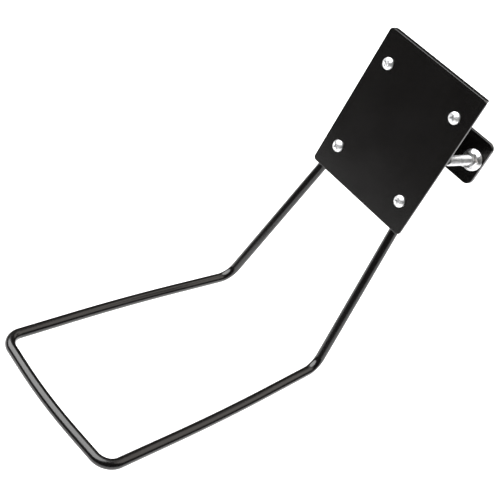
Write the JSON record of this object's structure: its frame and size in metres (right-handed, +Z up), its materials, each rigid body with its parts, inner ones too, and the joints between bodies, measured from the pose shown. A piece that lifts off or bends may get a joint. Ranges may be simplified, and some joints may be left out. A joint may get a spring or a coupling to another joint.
{
  "type": "bicycle wall rack",
  "caption": "Wall rack for a bicycle: a bent steel rod loop clamped by its legs between two plates on a bent bracket with wall studs.",
  "frame": {"origin": "in the wall plane, at the back faces of the two feet, midway between the two wall studs", "axes": "+Z up the wall, +X to the right seen from the front, +Y into the wall; the loop reaches out along -Y"},
  "size_m": [0.1716, 0.3705, 0.3695],
  "materials": {
    "powder_coat": "gloss black powder coat on pressed steel",
    "rod_coat": "gloss black powder coat on drawn rod",
    "zinc_screw": "bright zinc plated, turned and cold headed",
    "zinc_nut": "bright zinc plated, cold formed",
    "zinc_stud": "bright zinc plated, rolled thread"
  },
  "bodies": {
    "rack_frame": {"wall_bracket": "powder_coat", "rear_plate": "powder_coat", "front_plate": "powder_coat", "weld_top": "powder_coat", "weld_bottom": "powder_coat", "washer_1": "zinc_nut", "washer_2": "zinc_nut", "washer_3": "zinc_nut", "washer_4": "zinc_nut", "nut_1": "zinc_nut", "nut_2": "zinc_nut", "nut_3": "zinc_nut", "nut_4": "zinc_nut", "stud_left": "zinc_stud", "stud_right": "zinc_stud"},
    "loop": {"bike_loop": "rod_coat"},
    "clamp_screw_1": {"screw_1": "zinc_screw"},
    "clamp_screw_2": {"screw_2": "zinc_screw"},
    "clamp_screw_3": {"screw_3": "zinc_screw"},
    "clamp_screw_4": {"screw_4": "zinc_screw"},
    "nut_on_stud_left": {"wall_nut_left": "zinc_nut"},
    "nut_on_stud_right": {"wall_nut_right": "zinc_nut"}
  },
  "joints": [
    {"name": "loop_height", "type": "slide", "parent": "rack_frame", "child": "loop", "axis": [0, 0, -1], "range_m": [0, 0.03]},
    {"name": "screw_1_back_out", "type": "slide", "parent": "rack_frame", "child": "clamp_screw_1", "axis": [0, -1, 0], "range_m": [0, 0.004]},
    {"name": "screw_2_back_out", "type": "slide", "parent": "rack_frame", "child": "clamp_screw_2", "axis": [0, -1, 0], "range_m": [0, 0.004]},
    {"name": "screw_3_back_out", "type": "slide", "parent": "rack_frame", "child": "clamp_screw_3", "axis": [0, -1, 0], "range_m": [0, 0.004]},
    {"name": "screw_4_back_out", "type": "slide", "parent": "rack_frame", "child": "clamp_screw_4", "axis": [0, -1, 0], "range_m": [0, 0.004]},
    {"name": "wall_nut_left_run", "type": "slide", "parent": "rack_frame", "child": "nut_on_stud_left", "axis": [0, -1, 0], "range_m": [0, 0.032]},
    {"name": "wall_nut_right_run", "type": "slide", "parent": "rack_frame", "child": "nut_on_stud_right", "axis": [0, -1, 0], "range_m": [0, 0.032]}
  ]
}
